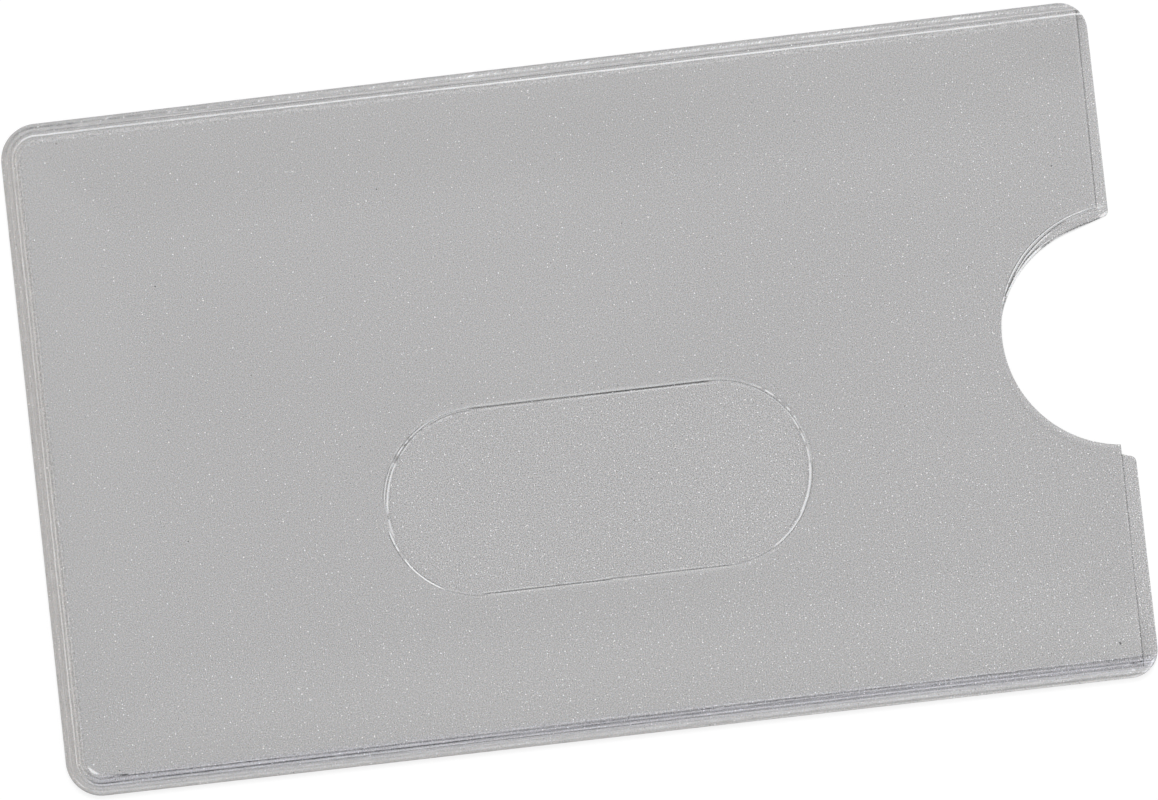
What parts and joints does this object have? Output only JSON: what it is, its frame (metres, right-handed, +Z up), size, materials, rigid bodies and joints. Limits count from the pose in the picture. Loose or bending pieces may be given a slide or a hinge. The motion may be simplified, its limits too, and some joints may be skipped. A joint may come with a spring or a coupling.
{
  "type": "card sleeve",
  "caption": "Soft frosted plastic sleeve for a bank card, open at one short end, with a half-round thumb notch and a long thumb slot.",
  "frame": {"origin": "under the middle of the sleeve, on the surface that it lies on", "axes": "+X out of the open mouth along the sleeve's length, +Y across it towards the side away from the thumb slot, +Z up through the front film"},
  "size_m": [0.093, 0.0576, 0.0008],
  "materials": {
    "front_film": "frosted soft vinyl film with a fine pressed grain",
    "rear_film": "frosted soft vinyl film with a fine pressed grain",
    "weld_seam": "melted vinyl, glossier and paler than the films, with the tool's fine teeth along its bead"
  },
  "bodies": {
    "root": {"front_film": "front_film", "rear_film": "rear_film", "weld_seam": "weld_seam"}
  },
  "joints": []
}
